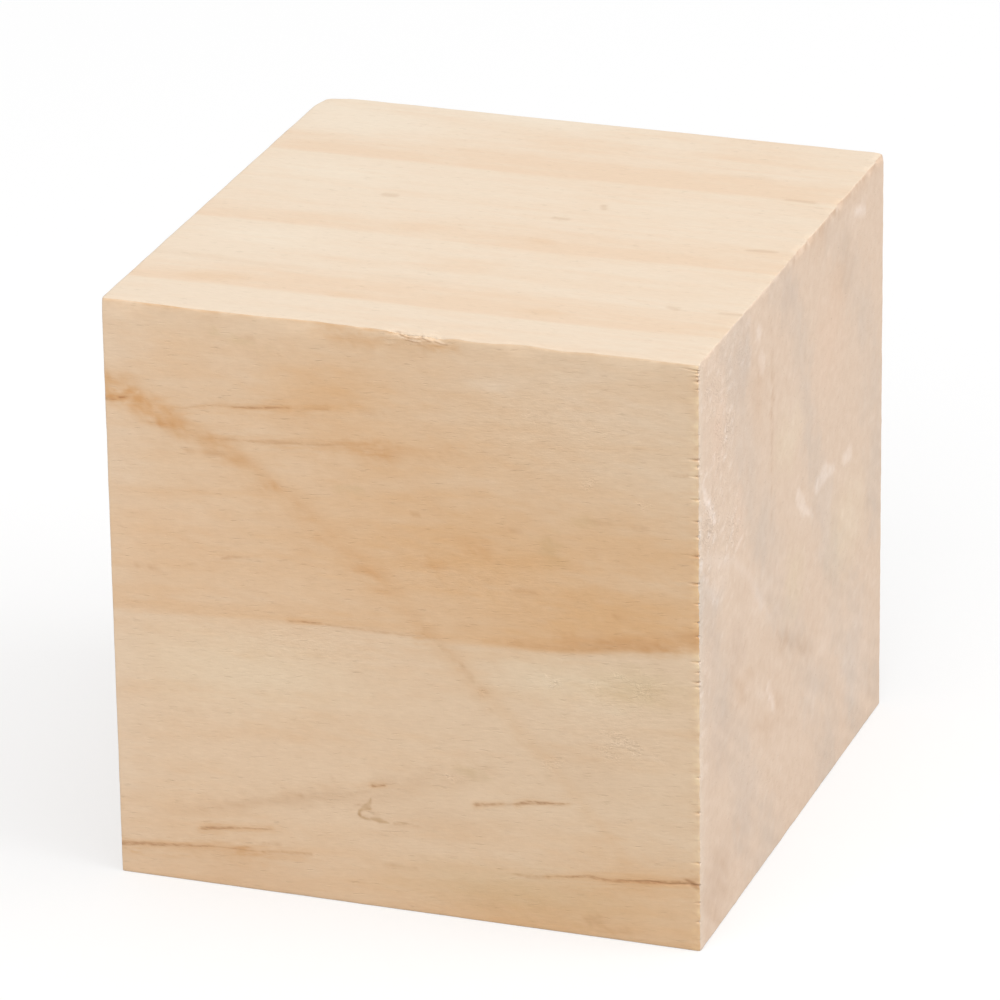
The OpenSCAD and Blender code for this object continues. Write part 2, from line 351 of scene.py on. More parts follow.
# Noises: scale on X, Y and Z, roughness and seed
WANDERS = (  # how far the rings wander, and by which noise
    (0.15, ((0.025, 0.09, 0.09), 0.5, 0)), (0.06, ((0.25, 1.2, 1.2), 0.5, 0)),
)
BOTH_NOISES = {"broad": ((0.07, 0.5, 0.5), 0.6, 0), "fibres": ((0.06, 2.6, 2.6), 0.7, 13)}
FRONT_NOISES = {
    **BOTH_NOISES, "sway": ((0.3, 1, 1.1), 0.6, 0), "jag": ((0.5, 1, 3.0), 0.65, 7),
    "mottle": ((0.6, 1, 1.2), 0.7, 31), "dashes": ((2.0, 1, 6.0), 0.7, 53),
}
TORN_NOISES = {"torn": ((1, 1, 1.6), 0.7, 41), "tufts": ((0.6, 1, 1), 0.7, 61)}
PLANED_NOISES = {
    **BOTH_NOISES, "sway": ((0.25, 0.8, 0.8), 0.6, 3), "cloud": ((0.4, 1.2, 1.2), 0.7, 17),
    "late": ((0.12, 0.6, 0.6), 0.6, 29),
}
END_NOISES = {
    "sway": ((0.2, 0.5, 0.5), 0.6, 11), "swirl": ((0.2, 0.5, 0.5), 0.6, 23),
    "mottle": ((1, 1.2, 1), 0.7, 31), "cloud": ((1, 0.16, 0.11), 0.6, 57),
    "tufts": ((1, 0.8, 0.8), 0.7, 61), "glints": ((1, 0.9, 2.2), 0.7, 83),
}
SMEAR_NOISE = ((1, 0.1, 0.7), 0.6, 71)

# Noises turned into factors: middle, gain, lowest and highest
DASHES = (0.9, 1.1, 0.35, 1.3)
TORN_MARGIN = (0.6, 2.0, 0.0, 2.0)
FRONT_TUFTING, END_TUFTING = (0.7, 1.6, 0.2, 1.2), (0.9, 0.7, 0.6, 1.2)
END_GLINTS = (-1.0, 4.0, 0.0, 1.5)

# How far a side's places are pushed for what is drawn there, and by which two noises
FRONT_PUSHES = {
    "cloudy": ((1.6, 0.8), "sway", "jag"), "torn": ((0.6, 0.6), "mottle", "jag"),
    "crisp": ((0.0, 0.08), "sway", "jag"), "ragged": ((0.4, 0.35), "mottle", "jag"),
}
TOP_PUSHES = {"cloudy": ((1.6, 0.6), "sway", "sway"), "crisp": ((0.0, 0.15), "sway", "sway")}
END_PUSHES = {"cloudy": ((1.2, 1.2), "sway", "swirl"), "crisp": ((0.3, 0.3), "mottle", "swirl")}

# How much each part adds to a side's tone, from early to late wood
FRONT_TONE = {"early": 0.03, "late": 0.62, "honey": 0.4, "warm": 0.46, "broad": 0.2, "fibres": 0.12}
PLANED_TONE = {"early": 0.04, "late": 0.85, "broad": 0.3, "cloud": 0.18, "fibres": 0.25}
TOP_TONE = {"patches": 0.45, "right": 0.2}
FRONT_LATE_SHOWN, FRONT_LATE_GAIN, FRONT_GAIN_X = 0.55, 0.6, (-14, 14)  # it grows to the right
TOP_LATE_SHOWN, TOP_LATE_VARIES, TOP_RIGHT_X = 0.95, 0.4, (-14, 6)

# Stains: colour, strength, where, soft margin (0 for patches), how pushed and how mottled
MOTTLED = 0.8
PLAINLY = 0, "cloudy", 0  # the last three, where they aren't given
FRONT_STAINS = (
    (PALE, 0.5, PALE_PATCHES), (IVORY, 1, IVORY_PATCHES), (OLIVE, 0.8, OLIVE_PATCHES),
    (ROSY, 0.5, ROSY_PATCHES), (AMBER, 0.8, AMBER_PATCHES),
    (UMBER, 0.7, UMBER_PATCHES, 0, "torn", MOTTLED), (GOLD, 0.6, GOLD_PATCHES, 0, "torn", MOTTLED),
    (GOLD, 0.38, (STREAK,), 1.9, "ragged", 0.5), (GOLD, 0.55, (STREAK_CORE,), 1.1, "ragged", 0.7),
    (RESIN, 0.6, (STREAK_DARK,), 0.9, "ragged", MOTTLED), (GOLD, 0.4, GLOWS, 1, "torn", 0.4),
    (GOLD, 0.6, (RING_RIM,), 1, "crisp", 0.4), (UMBER, 0.25, (RING_RIM,), 0.5, "crisp", MOTTLED),
    (ROSY, 0.7, (RISING_BAND,), 1.1, "torn", 0.4), (UMBER, 0.5, (RISING_LINE,), 0.55, "crisp", 0),
    (GOLD, 0.5, DARK_CANALS, 0.5, "crisp", 0), (KNOT, 0.85, KNOT_MARKS, 0.24, "crisp", 0.4),
    # the splinters' dark strokes here are painted shadow
    (CANAL, 0.7, MOUTH_MARKS, 0.25, "crisp", 0.6), (CANAL, 0.75, SPLINTER_SHADOWS, 0.1, "crisp", 0),
    (CHALK, 1.3, SPLINTER_PALE, 0.1, "crisp", 0),
)
TOP_STAINS = (
    (CREAM, 0.8, TOP_PALE), (GOLD, 0.35, TOP_DARK),
    (UMBER, 0.2, TOP_LINES, 0.7, "crisp", 0), (UMBER, 0.75, TOP_SPECKS, 0.4, "crisp", 0),
)
END_STAINS = (
    (CHALK, 0.4, END_PALE), (LEMON, 0.5, END_YELLOW), (DUSKY, 0.8, END_DUSK), (ORANGE, 0.7, END_ORANGE),
    (UMBER, 0.35, END_CREASES, 0.35, "crisp", MOTTLED), (CHALK, 0.5, END_SCRATCHES, 0.6, "crisp", MOTTLED),
    (CHALK, 1.05, END_FLECKS, 0.8, "crisp", MOTTLED),
)
DASHED_STAINS = (  # the same for strokes that are broken into dashes
    (UMBER, 0.75, FAINT_CANALS, 0.22, "crisp"), (UMBER, 0.5, (STREAK_END,), 0.3, "ragged"),
    (UMBER, 0.65, FAINT_MARKS, 0.22, "crisp"), (CANAL, 0.65, DARK_CANALS, 0.14, "crisp"),
)

# The front's broad shifts and its edges
FRONT_MOTTLE = 0.3
LIT_LEFT_EDGE, LIT_LEFT_EDGE_WIDTH = 0.4, 5.0  # painted light: a paler strip along the left edge
PAINTED_FALLOFF_START = 0.6  # painted light and shade: share of the way to the right at which the front turns from lit paler to shaded darker
FRINGE, FRINGE_EVEN, FRINGE_HEIGHT = 0.65, 0.8, 0.5  # golden fringe under the top edge
FRINGE_FADE, FRINGE_FADE_X = 0.5, (-4, 8)  # share of it that is gone to the right, and where
MARGIN_GOLD, MARGIN_GOLD_WIDTH = 0.3, 1.4  # golden margin at the right end
TORN_WIDTH = 1.1  # pale torn fibres there
NAP = 0.4

# The sawn ends' broad shifts and edges
END_MOTTLE = 0.5
PLAIN_LATE, PLAIN_FUZZ = 0.7, 0.3  # the hidden left end's late wood and fuzz
SAWN_TURN = np.array(((0.83, 0.56), (-0.56, 0.83)))  # turns Y and Z along the saw's smears
SMEAR, SMEAR_FADE, SMEAR_FADE_Z = 0.5, 0.75, (20, 34)  # the smears, and how they fade upwards
BAND, BAND_SOFT = 0.8, 3.6
BAND_EVEN, BAND_CLOUD, BAND_SMEAR = 0.9, 0.9, 0.6  # how the bands come and go
BROWN = 0.85
EDGE_STAIN, EDGE_WIDTH = 0.9, 1.6  # paler at the front and browner under the top
UNDER_TOP_Y = (-10, 5)  # where that brown edge begins
END_FUZZ_ALL, END_FUZZ_WIDE, END_FUZZ_TUFTS = 0.12, 0.4, 0.45
FUZZ_PALE, GLINT_STRENGTH = 0.2, 1.2  # how far fuzz bleaches the wood, and how bright the painted glints on its fibres are


# ---- the block's mesh

UNIT = 0.05  # step of the lattice that cell corners lie on
COUNT = np.round((HIGH - LOW) / UNIT).astype(int)
CELL_SEEN = 0.4  # largest cell on the seen sides
CELL_HIDDEN = 1.6  # and on the hidden ones
GROWTH = 0.8  # how much larger a cell may be for each millimetre from worked wood
ACROSS_ARRIS, ALONG_ARRIS = 0.1, 0.8  # cell across an edge and along it
ACROSS_RING = 0.12  # cell across a ring's edge
TOP_EDGE_CELL = (0.2, 0.1, 0.1)
SPLINTER_BACK, SPLINTER_DOWN = 0.6, 0.5  # how far the splinters' fine cells go
RAGGED_CELL = (0.1, 0.15, 0.1)
FRAY_CELL = (0.1, 0.1, 0.2)
NICK_CELL, NICK_DEEP = (0.2, 0.1, 0.05), 0.2
CRACK_CELL, CRACK_DEEP = (0.4, 0.1, 0.05), 0.5
CANAL_CELL = (0.2, 0.2, 0.05)
FINE_CELL = (0.1, 0.1, 0.1)
SPECK_CELL = (0.2, 0.2, 0.2)
STROKE_MARGIN = 0.1  # worked wood on both sides of a stroke
SPLIT_OVER = 1.01  # how many times too large a split cell is

# The box sides by number: twice the axis, and one more for the high side
SEEN = 2, 5, 1  # front, top and right
HIDDEN = 3, 4, 0  # back, base and left
MAP_MARGIN = 0.004  # gap round each side in the texture map

# A lattice point's key holds its three counts, one above the other
BITS = 20
MASK = (1 << BITS) - 1
KEY = np.array([1 << 2 * BITS, 1 << BITS, 1])


def fine_spots():
    """Boxes of worked wood as (low corner, high corner, cell size on each axis)."""
    spots = []
    for axis in range(3):
        size = np.full(3, ACROSS_ARRIS)
        size[axis] = ALONG_ARRIS
        for edge in np.ndindex(2, 2):
            low, high = (np.where(np.insert(edge, axis, far), HIGH, LOW) for far in (0, 1))
            spots.append((low, high, size))
    start, end = SPLINTER_X
    spots += (
        ((start, FRONT, TOP - SPLINTER_DOWN), (end, FRONT + SPLINTER_BACK, TOP), FINE_CELL),
        ((LEFT, FRONT, TOP), (RIGHT, FRONT, TOP), TOP_EDGE_CELL),
        ((RIGHT, FRONT, TOP), (RIGHT, BACK, TOP), RAGGED_CELL),
        ((RIGHT, FRONT, BASE), (RIGHT, FRONT, TOP), FRAY_CELL),
    )
    spots += (((RIGHT - reach, FRONT, height - half), (RIGHT, FRONT + NICK_DEEP, height + half), NICK_CELL)
              for height, reach, half, _ in NICKS)
    for (tip_x, tip_z), (_, mouth_z), half, _ in CRACKS:
        low_z, high_z = min(tip_z, mouth_z) - half, max(tip_z, mouth_z) + half
        spots.append(((tip_x, FRONT, low_z), (RIGHT, FRONT + CRACK_DEEP, high_z), CRACK_CELL))
    spots += stroke_spots((*DARK_CANALS, *FAINT_CANALS, *MOUTH_MARKS), 1, FRONT, CANAL_CELL)
    spots += stroke_spots(KNOT_MARKS, 1, FRONT, FINE_CELL)
    spots += stroke_spots(TOP_SPECKS, 2, TOP, SPECK_CELL)
    spots += stroke_spots(END_FLECKS, 0, RIGHT, SPECK_CELL)
    return [tuple(np.array(part, float) for part in spot) for spot in spots]


def stroke_spots(paths, axis, plane, size):
    """Boxes round the strokes on the side that is square to the axis."""
    spots = []
    for path in paths:
        for start, end in zip(path, path[1:]):
            reach = max(start[2], end[2], 0) + STROKE_MARGIN
            low, high = np.minimum(start, end)[:2] - reach, np.maximum(start, end)[:2] + reach
            spots.append((np.insert(low, axis, plane), np.insert(high, axis, plane), size))
    return spots


def ring_radius(points):
    """Distance from the pith, with the rings' turn at the ends."""
    turn = END_RISE * step(points[:, 0], *END_RISE_X) - END_DROP * step(-points[:, 0], *END_DROP_X)
    turn *= 1 - TOP_CALM * step(points[:, 2], *TOP_CALM_Z)
    return np.linalg.norm(points[:, 1:] - PITH, axis=1) + turn


def cell_limits(low, high, spots, broad, axis):
    """The largest cell that each cell's place allows, on every axis."""
    limit = np.full(low.shape, broad)
    for spot_low, spot_high, size in spots:
        gap = np.maximum(np.maximum(spot_low - high, low - spot_high), 0)
        distance = np.linalg.norm(gap, axis=1, keepdims=True)
        limit = np.minimum(limit, size + GROWTH * distance)
    if axis and broad == CELL_SEEN:
        off = np.abs(ring_radius((low + high) / 2)[:, None] - RING_EDGES).min(1, keepdims=True)
        limit[:, 1:] = np.minimum(limit[:, 1:], ACROSS_RING + GROWTH * off)
    return limit


def face_cells(axis, side, spots, broad):
    """Halves one face's cells until each is as fine as its place asks."""
    cells = np.zeros((1, 2, 3), int)
    cells[0, 1] = COUNT
    cells[:, :, axis] = COUNT[axis] * side
    done = []
    pace = (HIGH - LOW) / COUNT
    while len(cells):
        low, high = LOW + cells[:, 0] * pace, LOW + cells[:, 1] * pace
        span = cells[:, 1] - cells[:, 0]
        over = span * pace / cell_limits(low, high, spots, broad, axis)
        over[span < 2] = 0
        split = over.max(1) > SPLIT_OVER
        done.append(cells[~split])
        cells, way = cells[split], over[split].argmax(1)
        rows = np.arange(len(cells))
        middle = (cells[rows, 0, way] + cells[rows, 1, way]) // 2
        first, second = cells.copy(), cells.copy()
        first[rows, 1, way] = middle
        second[rows, 0, way] = middle
        cells = np.concatenate([first, second])
    return np.concatenate(done)


def cell_rings(cells, axis, side):
    """The four corners of each cell, anticlockwise seen from outside."""
    u, v = (axis + 1) % 3, (axis + 2) % 3
    corners = np.repeat(cells[:, :1], 4, axis=1)
    corners[:, 1:3, u] = cells[:, 1:, u]
    corners[:, 2:4, v] = cells[:, 1:, v]
    return corners if side else corners[:, ::-1]


def ring_keys(ring, known):
    """Every known lattice point round a cell, so that it meets finer ones with no gap."""
    keys = []
    for start, end in zip(ring, ring[1:] + ring[:1]):
        span = end - start
        steps = max(abs(span) & MASK, abs(span) >> BITS & MASK, abs(span) >> 2 * BITS)
        stride = span // steps
        keys += [key for key in range(start, end, stride) if key in known]
    return keys


def block_faces():
    """Home places of the vertices, the faces and each face's box side."""
    spots = fine_spots()
    rings, sides = [], []
    for axis in range(3):
        for side in (0, 1):
            number = 2 * axis + side
            cells = face_cells(axis, side, spots, CELL_SEEN if number in SEEN else CELL_HIDDEN)
            rings.append(cell_rings(cells, axis, side) @ KEY)
            sides += [number] * len(cells)
    rings = np.concatenate(rings)
    corner_keys = np.unique(rings)
    known = {key: index for index, key in enumerate(corner_keys.tolist())}
    lattice = np.stack([corner_keys >> 2 * BITS, corner_keys >> BITS & MASK, corner_keys & MASK], 1)
    home = (LOW + lattice * (HIGH - LOW) / COUNT).tolist()
    faces, face_sides = [], []
    for ring, side in zip(rings.tolist(), sides):
        corners = [known[key] for key in ring_keys(ring, known)]
        if len(corners) == 4:
            faces.append(corners)
            face_sides.append(side)
            continue
        home.append(np.mean([home[known[key]] for key in ring], axis=0).tolist())
        middle = len(home) - 1
        faces += [(middle, a, b) for a, b in zip(corners, corners[1:] + corners[:1])]
        face_sides += [side] * len(corners)
    return np.array(home), faces, face_sides


# ---- the block's shape

def fall(t):
    """1 at 0, easing down to 0 at 1 and beyond."""
    t = np.clip(np.abs(t), 0, 1)
    return 1 - t * t * (3 - 2 * t)


def noise_at(points, *scale):
    """Smooth noise from about -1 to 1, at stretched places."""
    return np.array([noise.noise(Vector(q)) for q in points * np.array(scale)])


def rounded(home):
    """The plain box with its edges eased by a radius that comes and goes."""
    radius = ARRIS_R + ARRIS_VARIES * noise_at(home, *ARRIS_NOISE)
    corner = np.array([LEFT, BACK, TOP])
    radius += WORN_CORNER_R * fall(np.linalg.norm(home - corner, axis=1) / WORN_REACH)
    radius = radius[:, None]
    inner = np.clip(home, LOW + radius, HIGH - radius)
    out = home - inner
    return inner + out * radius / np.linalg.norm(out, axis=1, keepdims=True)


def wave_front_edge(place, home):
    """Dips and set-backs of the top front edge."""
    hold = fall((home[:, 1] - FRONT) / WAVE_REACH) * fall((TOP - home[:, 2]) / WAVE_REACH)
    for middle, half, drop, set_back in WAVES:
        share = hold * fall((home[:, 0] - middle) / half)
        place[:, 2] -= drop * share
        place[:, 1] += set_back * share


def roughen_edge(place, home, rough, sinks, reach, *sides, along=1):
    """Wears an edge's two sides, each given as axis, way inwards and noise."""
    first, second = (fall((home[:, axis] - (LOW if inwards > 0 else HIGH)[axis]) / reach)
                     for axis, inwards, _ in sides)
    hold = first * second * along
    near = hold > 0
    for shift, (axis, inwards, scale) in zip((0, ELSEWHERE), sides):
        worn = sinks + noise_at(home[near] + shift, *scale)
        place[near, axis] += inwards * rough * hold[near] * worn


def rag_right_edge(place, home):
    """Scallops and tears of the right end's top edge."""
    hold = fall((RIGHT - home[:, 0]) / RAGGED_REACH) * fall((TOP - home[:, 2]) / RAGGED_REACH)
    near = hold > 0
    scallop = np.abs(noise_at(home[near], *SCALLOP_NOISE))
    scallop += RAGGED_TEARS * noise_at(home[near], *RAGGED_NOISE)
    drop = RAGGED_DROP * hold[near] * np.maximum(scallop, 0)
    place[near, 2] -= drop
    place[near, 0] -= RAGGED_BITE * drop


def nick_right_edge(place, home):
    """Pits where fibres tore out of the right end's front edge."""
    from_end, from_front = RIGHT - home[:, 0], home[:, 1] - FRONT
    for height, reach, half, deep in NICKS:
        share = fall((home[:, 2] - height) / half) * fall(from_end / reach) * fall(from_front / deep)
        place[:, 1] += deep * share
        place[:, 0] -= NICK_BITE * share


def open_cracks(place, home):
    """Cracks from a tip in the front that gape at the right end."""
    for (tip_x, tip_z), (mouth_x, mouth_z), half, deep in CRACKS:
        along = np.clip((home[:, 0] - tip_x) / (mouth_x - tip_x), 0, 1)
        line = tip_z + along * (mouth_z - tip_z) + CRACK_SWAY * np.sin(home[:, 0] * CRACK_PACE)
        share = fall((home[:, 2] - line) / (half * along + UNIT)) * along
        share *= fall((home[:, 1] - FRONT) / deep)
        place[:, 1] += deep * share
        place[:, 0] -= deep * share * fall((RIGHT - home[:, 0]) / deep)


def sawn_depth(home, side):
    """How deep the saw bit into an end at each place, with the right one's fuzz."""
    coarse, fine = (noise_at(home, *scale) for scale in SAWN_NOISES)
    depth = SAWN_ROUGH * (1 + coarse + SAWN_FINE * fine)
    if side < 0:
        return depth
    fuzz = FUZZ_ROUGH * fall(np.linalg.norm((home[:, 1:] - FUZZ_MIDDLE) / FUZZ_SPREAD, axis=1))
    return depth + fuzz * (1 + FUZZ_UNEVEN * noise_at(home, *FUZZ_NOISE))


def roughen(place, home):
    """Saw marks and fuzz on the ends, slight unevenness on the planed sides."""
    uneven = noise_at(home, *PLANED_NOISE)
    for axis, (low, high) in enumerate(zip(LOW, HIGH)):
        for side, plane in ((-1, low), (1, high)):
            on = np.abs(home[:, axis] - plane) < UNIT / 2
            depth = PLANED_ROUGH * (1 + uneven[on]) if axis else sawn_depth(home[on], side)
            place[on, axis] -= side * depth


def shaped(home):
    """Where the wood really is, for points on the plain box."""
    place = rounded(home)
    wave_front_edge(place, home)
    roughen_edge(place, home, *RIM)
    start, end = SPLINTER_X
    off = (home[:, 0] - (start + end) / 2) / ((end - start) / 2)
    roughen_edge(place, home, *SPLINTERED, along=fall(off ** 3))
    rag_right_edge(place, home)
    nick_right_edge(place, home)
    roughen_edge(place, home, *FRAYED)
    open_cracks(place, home)
    roughen(place, home)
    return place


# ---- the wood's colour

def fractal_at(points, scale, rough, seed):
    """Noise with finer noise on it, mostly within a half of 0, at stretched places."""
    fading = -math.log2(rough)
    return np.array([noise.fractal(Vector(q), fading, 2.0, 3) for q in points * scale + seed])


def fields(points, noises):
    """Each of the named noises at every place."""
    return {name: fractal_at(points, *kind) for name, kind in noises.items()}


def factor(field, middle, gain, lowest, highest):
    """Turns a noise into a factor."""
    return np.clip(middle + gain * field, lowest, highest)


def step(value, start, end):
    """Eases from 0 to 1 as the value goes from start to end."""
    return 1 - fall(np.clip((value - start) / (end - start), 0, 1))


def strokes(spot, paths, soft):
    """Share of bent strokes at each place, fading out over the soft margin."""
    share = np.zeros(len(spot))
    for path in paths:
        for (u, v, half), (next_u, next_v, next_half) in zip(path, path[1:]):
            run = np.array((next_u - u, next_v - v))
            away = spot - (u, v)
            along = np.clip(away @ run / (run @ run), 0, 1)
            gap = np.linalg.norm(away - along[:, None] * run, axis=1) - half - along * (next_half - half)
            share = np.maximum(share, fall(np.maximum(gap, 0) / soft))
    return share


def patches(spot, ovals):
    """Share of soft ovals at each place."""
    share = np.zeros(len(spot))
    for u, v, half_u, half_v in ovals:
        share = np.maximum(share, fall(np.linalg.norm((spot - (u, v)) / (half_u, half_v), axis=1)))
    return share


def blend(share, first, second):
    """Colours from the first to the second, by each place's share."""
    share = np.clip(share, 0, 1)[:, None]
    return (1 - share) * np.array(first) + share * np.array(second)


def stain(wood, share, tint):
    """Darkens or bleaches the wood by each place's share."""
    wood *= 1 - share[:, None] * (1 - np.array(tint))


def stain_all(wood, stains, spots, mottle):
    """Draws all the patches and strokes of a side on its pushed places."""
    for tint, strength, where, *manner in stains:
        soft, push, mottled = manner or PLAINLY
        share = strokes(spots[push], where, soft) if soft else patches(spots[push], where)
        stain(wood, strength * (1 + mottled * mottle) * share, tint)


def pushed(points, axes, pushes, field):
    """A side's places, pushed about so that what is drawn on them frays."""
    return {name: points[:, axes] + np.stack([field[first], field[second]], 1) * far
            for name, (far, first, second) in pushes.items()}


def mixed(weights, **parts):
    """The sum of the named parts, each with its weight."""
    return sum(weight * parts[name] for name, weight in weights.items())


def late_wood(points, blur):
    """Share of late wood, from 0 just outside a ring's edge to 1 just inside it."""
    radius = ring_radius(points)
    for far, kind in WANDERS:
        radius += far * fractal_at(points, *kind)
    late = np.zeros(len(points))
    for edge in RING_EDGES:
        late += step(radius, edge - LATE_DEPTH, edge) * (1 - step(radius, edge - blur, edge + blur))
    return late


def front_tone(points, field, cloudy):
    """How far the front's colour goes from early to late wood."""
    late = late_wood(points, FRONT_BLUR)
    late *= FRONT_LATE_SHOWN + FRONT_LATE_GAIN * step(points[:, 0], *FRONT_GAIN_X)
    honey, warm = patches(cloudy, HONEY_PATCHES), patches(cloudy, WARM_PATCHES)
    return mixed(FRONT_TONE, early=1, late=late, honey=honey, warm=warm, **field)


def stain_front_edges(wood, points, mottle, torn):
    """The golden fringe under the top edge, and the torn fibres at the right end."""
    below = FRINGE * (FRINGE_EVEN + mottle) * fall((TOP - points[:, 2]) / FRINGE_HEIGHT)
    stain(wood, below * (1 - FRINGE_FADE * step(points[:, 0], *FRINGE_FADE_X)), GOLD)
    from_end = RIGHT - points[:, 0]
    stain(wood, MARGIN_GOLD * (1 + MOTTLED * mottle) * fall(from_end / MARGIN_GOLD_WIDTH), GOLD)
    stain(wood, factor(torn, *TORN_MARGIN) * fall(from_end / TORN_WIDTH), STRAW)


def front_wood(points):
    """Colour of the front, and the share by which its fibres stand up."""
    grain = points - np.outer(points[:, 0], (0, 0, GRAIN_RISE))
    field = {**fields(grain, FRONT_NOISES), **fields(points, TORN_NOISES)}
    mottle = field["mottle"]
    spots = pushed(points, (0, 2), FRONT_PUSHES, field)
    wood = blend(front_tone(points, field, spots["cloudy"]), FRONT_EARLY, FRONT_LATE)
    # painted light: the front is paler along its left edge
    stain(wood, LIT_LEFT_EDGE * fall((points[:, 0] - LEFT) / LIT_LEFT_EDGE_WIDTH), PALE)
    # painted shade growing to the right, and painted light at the left, where the light falls off across the
    # front
    stain(wood, step(points[:, 0], LEFT, RIGHT) - PAINTED_FALLOFF_START, PAINTED_FALLOFF)
    stain(wood, FRONT_MOTTLE * mottle, ROSY)
    stain_all(wood, FRONT_STAINS, spots, mottle)
    dashes = factor(field["dashes"], *DASHES)
    for tint, strength, paths, soft, push in DASHED_STAINS:
        stain(wood, strength * dashes * strokes(spots[push], paths, soft), tint)
    stain_front_edges(wood, points, mottle, field["torn"])
    fuzz = factor(field["tufts"], *FRONT_TUFTING) * patches(spots["torn"], FRONT_FUZZ)
    return wood, np.maximum(fuzz, NAP * patches(spots["cloudy"], FRONT_NAP))


def planed_wood(points):
    """The same for the top, and without marks for the underside and the back."""
    field = fields(points, PLANED_NOISES)
    late = late_wood(points, TOP_BLUR) * (TOP_LATE_SHOWN + TOP_LATE_VARIES * field.pop("late"))
    tone = mixed(PLANED_TONE, early=1, late=late, **field)
    fuzz = np.zeros(len(points))
    if points[:, 2].min() < TOP - UNIT:
        return blend(tone, TOP_EARLY, TOP_LATE), fuzz
    spots = pushed(points, (0, 1), TOP_PUSHES, field)
    right = step(points[:, 0], *TOP_RIGHT_X)
    tone += mixed(TOP_TONE, patches=patches(spots["cloudy"], TOP_PATCHES), right=right)
    wood = blend(tone, TOP_EARLY, TOP_LATE)
    stain_all(wood, TOP_STAINS, spots, fuzz)
    return wood, fuzz


def end_wood(points):
    """The same for the sawn ends, of which the left one is plain."""
    field = fields(points, END_NOISES)
    mottle = field["mottle"]
    wood = np.tile(END_EARLY, (len(points), 1))
    stain(wood, END_MOTTLE * mottle, ROSY)
    if points[0, 0] < 0:
        stain(wood, PLAIN_LATE * (1 + MOTTLED * mottle) * late_wood(points, TOP_BLUR), ASH)
        return wood, np.full(len(points), PLAIN_FUZZ)
    spots = pushed(points, (1, 2), END_PUSHES, field)
    stain_saw_smears(wood, points, field["cloud"], spots["cloudy"])
    stain_all(wood, END_STAINS, spots, mottle)
    edges = EDGE_STAIN * (1 + MOTTLED * mottle)
    stain(wood, edges * fall((points[:, 1] - FRONT) / EDGE_WIDTH), CREAM)
    under_top = fall((TOP - points[:, 2]) / EDGE_WIDTH) * step(points[:, 1], *UNDER_TOP_Y)
    stain(wood, edges * under_top, CLAY)
    wide, thick = (patches(spots["cloudy"], ovals) for ovals in (END_FUZZ, END_TUFTS))
    tufts = factor(field["tufts"], *END_TUFTING)
    fuzz = END_FUZZ_ALL + tufts * (END_FUZZ_WIDE * wide + END_FUZZ_TUFTS * thick)
    # painted highlights: bright glints on the fuzz's fibres, over the fuzz's own paler colour
    glints = factor(field["glints"], *END_GLINTS)
    stain(wood, (FUZZ_PALE + GLINT_STRENGTH * glints) * np.clip(fuzz, 0, 1), CHALK)
    return wood, fuzz


def stain_saw_smears(wood, points, cloud, spot):
    """The right end's grey bands and brown clouds, smeared by the saw."""
    sawn = np.column_stack((points[:, 0], points[:, 1:] @ SAWN_TURN))
    smear = fractal_at(sawn, *SMEAR_NOISE) * (1 - SMEAR_FADE * step(points[:, 2], *SMEAR_FADE_Z))
    stain(wood, SMEAR * smear, ROSY)
    bands = BAND * np.maximum(BAND_EVEN + BAND_CLOUD * cloud + BAND_SMEAR * smear, 0)
    stain(wood, bands * strokes(spot, END_BANDS, BAND_SOFT), ASH)
    stain(wood, BROWN * (1 + smear) * patches(spot, END_BROWN), CLAY)


SIDE_WOOD = (end_wood, end_wood, front_wood, planed_wood, planed_wood, planed_wood)  # by side number


def add_wood_colour(mesh, home, corner, side):
    """Gives every face corner its side's wood colour there, painted light and shade included, with the fuzz
    as alpha.
    """
    colour = np.zeros((len(corner), 4))
    for number, side_wood in enumerate(SIDE_WOOD):
        on = np.flatnonzero(side == number)
        vertices, which = np.unique(corner[on], return_inverse=True)
        wood, fuzz = side_wood(home[vertices])
        colour[on] = np.column_stack((wood, np.clip(fuzz, 0, 1)))[which]
    layer = mesh.color_attributes.new(WOOD, "FLOAT_COLOR", "CORNER")
    layer.data.foreach_set("color", colour.astype(np.float32).ravel())


def add_texture_map(mesh, home, corner, side):
    """Lays the three seen sides out side by side, above the three hidden ones."""
    share = ((home - LOW) / (HIGH - LOW))[corner]
    spot = np.zeros((len(corner), 2))
    for row, base, height in ((HIDDEN, 0, 1 / 3), (SEEN, 1 / 3, 2 / 3)):
        for column, number in enumerate(row):
            on = side == number
            along_across = [axis for axis in range(3) if axis != number // 2]
            size = np.array((1 / 3, height)) - 2 * MAP_MARGIN
            spot[on] = share[on][:, along_across] * size + MAP_MARGIN + (column / 3, base)
    layer = mesh.uv_layers.new(name="OFBake")
    layer.uv.foreach_set("vector", spot.astype(np.float32).ravel())


def added(name, data):
    """A new object in the scene."""
    made = bpy.data.objects.new(name, data)
    bpy.context.scene.collection.objects.link(made)
    return made


def make_block(material):
    """The block's one closed piece, in metres."""
    home, faces, face_sides = block_faces()
    mesh = bpy.data.meshes.new("pine_block")
    mesh.from_pydata((shaped(home) * MM).tolist(), [], faces)
    mesh.polygons.foreach_set("use_smooth", [True] * len(faces))
    corner, side = np.concatenate(faces), np.repeat(face_sides, [len(face) for face in faces])
    add_texture_map(mesh, home, corner, side)
    add_wood_colour(mesh, home, corner, side)
    mesh.materials.append(material)
    block = added("pine_block", mesh)
    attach(block, "root")
    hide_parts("block")


# ---- the pine's material

WOOD = "wood"  # the mesh's layer of wood colours
END_FACING = (0.6, 0.85)  # how far a sawn end faces along the grain

